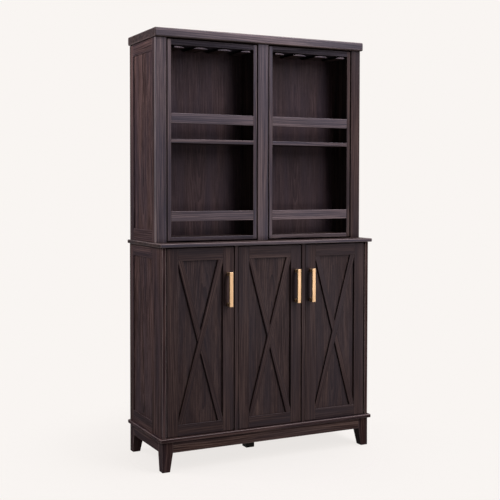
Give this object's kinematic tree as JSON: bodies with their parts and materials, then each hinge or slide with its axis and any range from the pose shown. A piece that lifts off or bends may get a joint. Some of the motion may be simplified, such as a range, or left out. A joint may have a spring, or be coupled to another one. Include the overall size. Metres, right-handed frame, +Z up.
{
  "type": "bar armoire",
  "caption": "Tall bar cabinet: a base with cross-braced hinged doors under a hutch with revolving display boxes, guard rails and stemware racks.",
  "frame": {"origin": "on the floor, under the middle of the whole bounding box", "axes": "+Z up, -Y towards the front of the cabinet, +X to the viewer's right when facing the front"},
  "size_m": [1.016, 0.394, 1.8],
  "materials": {
    "dark_wood": "dark espresso woodgrain, satin",
    "handle_brass": "brushed pale gold",
    "hardware_steel": "zinc-plated steel",
    "support_black": "plain black"
  },
  "bodies": {
    "carcass": {"apron_front": "dark_wood", "base_back": "dark_wood", "base_bottom": "dark_wood", "base_partition_left": "dark_wood", "base_partition_right": "dark_wood", "base_shelf_left": "dark_wood", "base_shelf_middle": "dark_wood", "base_shelf_right": "dark_wood", "base_side_left": "dark_wood", "base_side_right": "dark_wood", "counter": "dark_wood", "foot_centre": "support_black", "foot_front_left": "dark_wood", "foot_front_right": "dark_wood", "foot_rear_left": "dark_wood", "foot_rear_right": "dark_wood", "hinge_arms": "hardware_steel", "hutch_back": "dark_wood", "hutch_crown": "dark_wood", "hutch_side_left": "dark_wood", "hutch_side_right": "dark_wood", "hutch_stile_centre": "dark_wood", "hutch_stile_left": "dark_wood", "hutch_stile_right": "dark_wood", "pivot_sockets": "hardware_steel", "plinth_rails": "dark_wood", "shelf_pins": "hardware_steel"},
    "display_left": {"display_left_back": "dark_wood", "display_left_bottom": "dark_wood", "display_left_guard_rails": "dark_wood", "display_left_pivots": "hardware_steel", "display_left_shelf": "dark_wood", "display_left_side_inner": "dark_wood", "display_left_side_outer": "dark_wood", "display_left_stemware_rack": "dark_wood", "display_left_top": "dark_wood"},
    "display_right": {"display_right_back": "dark_wood", "display_right_bottom": "dark_wood", "display_right_guard_rails": "dark_wood", "display_right_pivots": "hardware_steel", "display_right_shelf": "dark_wood", "display_right_side_inner": "dark_wood", "display_right_side_outer": "dark_wood", "display_right_stemware_rack": "dark_wood", "display_right_top": "dark_wood"},
    "door_left": {"door_left_cross": "dark_wood", "door_left_frame": "dark_wood", "door_left_handle": "handle_brass", "door_left_hinge_cups": "hardware_steel", "door_left_panel": "dark_wood"},
    "door_middle": {"door_middle_cross": "dark_wood", "door_middle_frame": "dark_wood", "door_middle_handle": "handle_brass", "door_middle_hinge_cups": "hardware_steel", "door_middle_panel": "dark_wood"},
    "door_right": {"door_right_cross": "dark_wood", "door_right_frame": "dark_wood", "door_right_handle": "handle_brass", "door_right_hinge_cups": "hardware_steel", "door_right_panel": "dark_wood"}
  },
  "joints": [
    {"name": "door_left_swing", "type": "hinge", "parent": "carcass", "child": "door_left", "pos_m": [-0.4755, -0.167, 0.5235], "axis": [0, 0, -1], "range_deg": [0, 105]},
    {"name": "door_middle_swing", "type": "hinge", "parent": "carcass", "child": "door_middle", "pos_m": [-0.15083, -0.167, 0.5235], "axis": [0, 0, -1], "range_deg": [0, 105]},
    {"name": "door_right_swing", "type": "hinge", "parent": "carcass", "child": "door_right", "pos_m": [0.4755, -0.167, 0.5235], "axis": [0, 0, 1], "range_deg": [0, 105]},
    {"name": "display_left_turn", "type": "hinge", "parent": "carcass", "child": "display_left", "pos_m": [-0.23675, -0.0375, 0.926], "axis": [0, 0, 1], "continuous": true},
    {"name": "display_right_turn", "type": "hinge", "parent": "carcass", "child": "display_right", "pos_m": [0.23675, -0.0375, 0.926], "axis": [0, 0, -1], "continuous": true}
  ]
}
